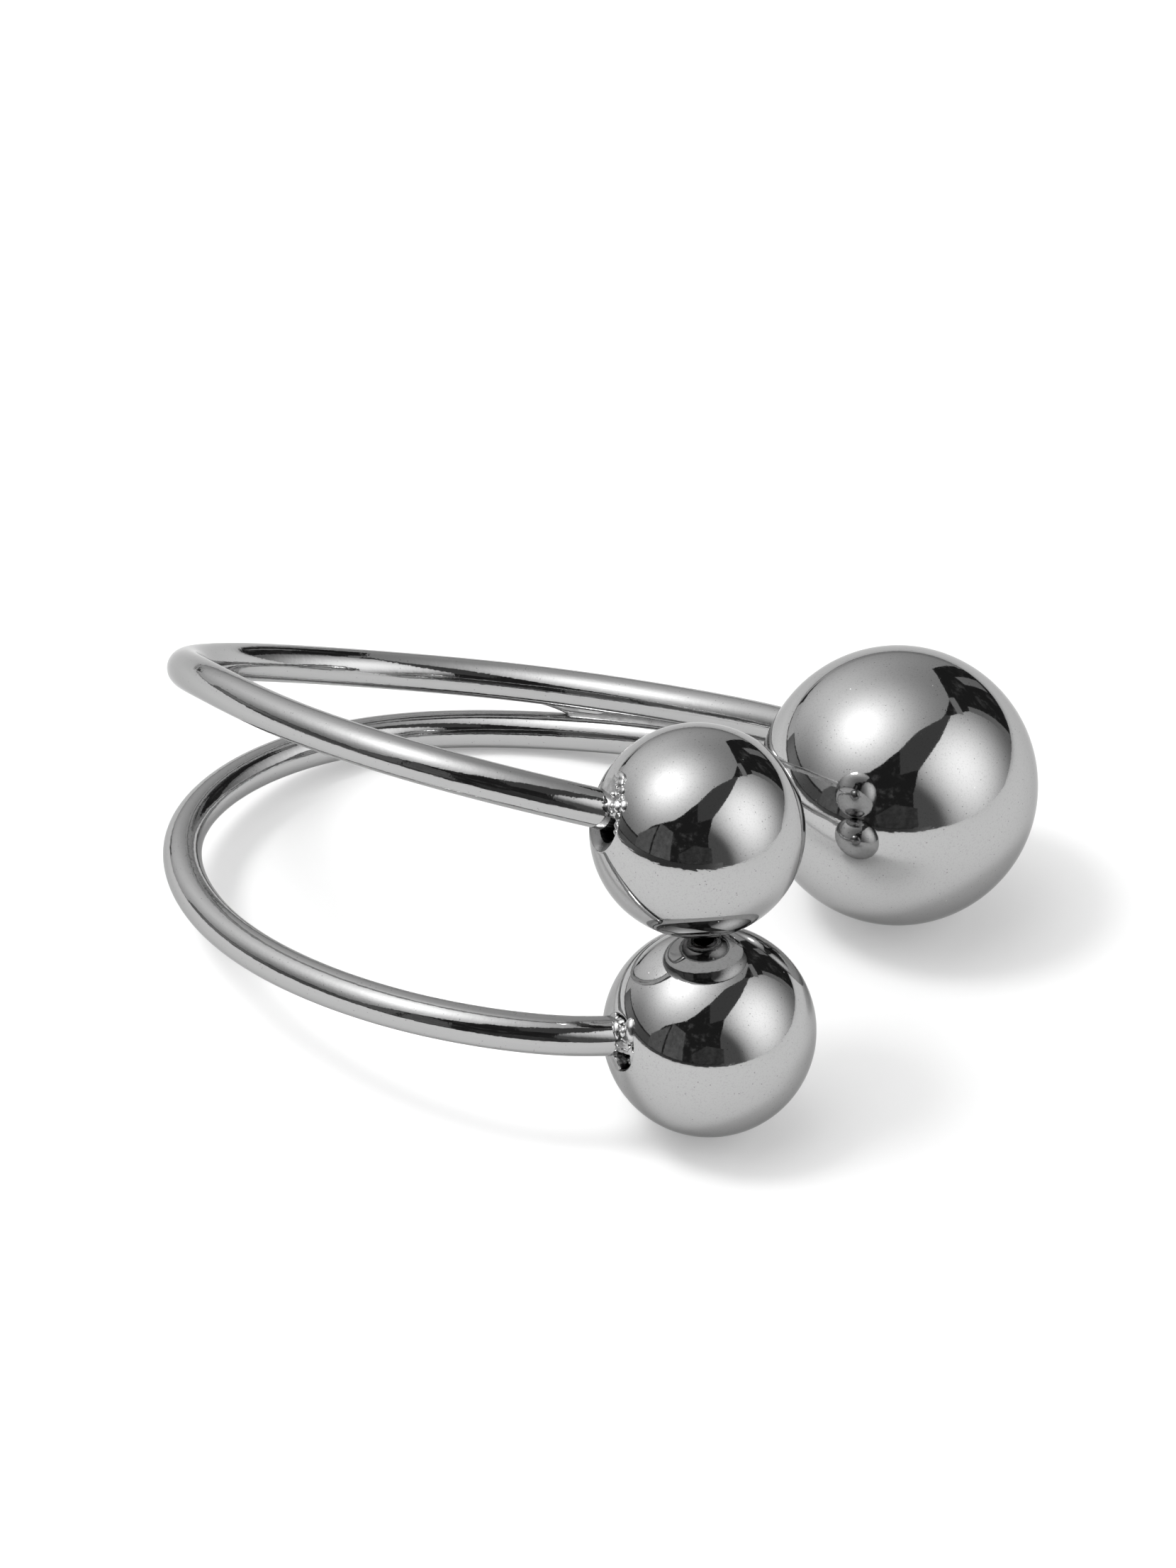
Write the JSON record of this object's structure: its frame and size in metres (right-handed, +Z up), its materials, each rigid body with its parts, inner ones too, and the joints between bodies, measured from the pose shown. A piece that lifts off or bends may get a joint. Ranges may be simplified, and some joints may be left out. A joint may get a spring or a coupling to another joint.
{
  "type": "adjustable ball ring",
  "caption": "Open finger ring of round wires soldered side by side behind a large ball, spreading to small balls in front; shown lying on its side.",
  "frame": {"origin": "on the table, under the middle of the box round the ring as it lies on its side", "axes": "+Z up from the table, +X to the right in the picture's view, +Y away from that view; the finger's axis leans 20 degrees from +Z towards +Y"},
  "size_m": [0.0312, 0.0272, 0.0146],
  "materials": {
    "polished_metal": "mirror polish with fine pits and hairline scratches"
  },
  "bodies": {
    "root": {"wire_band": "polished_metal", "large_ball": "polished_metal", "upper_ball": "polished_metal", "lower_ball": "polished_metal"}
  },
  "joints": []
}
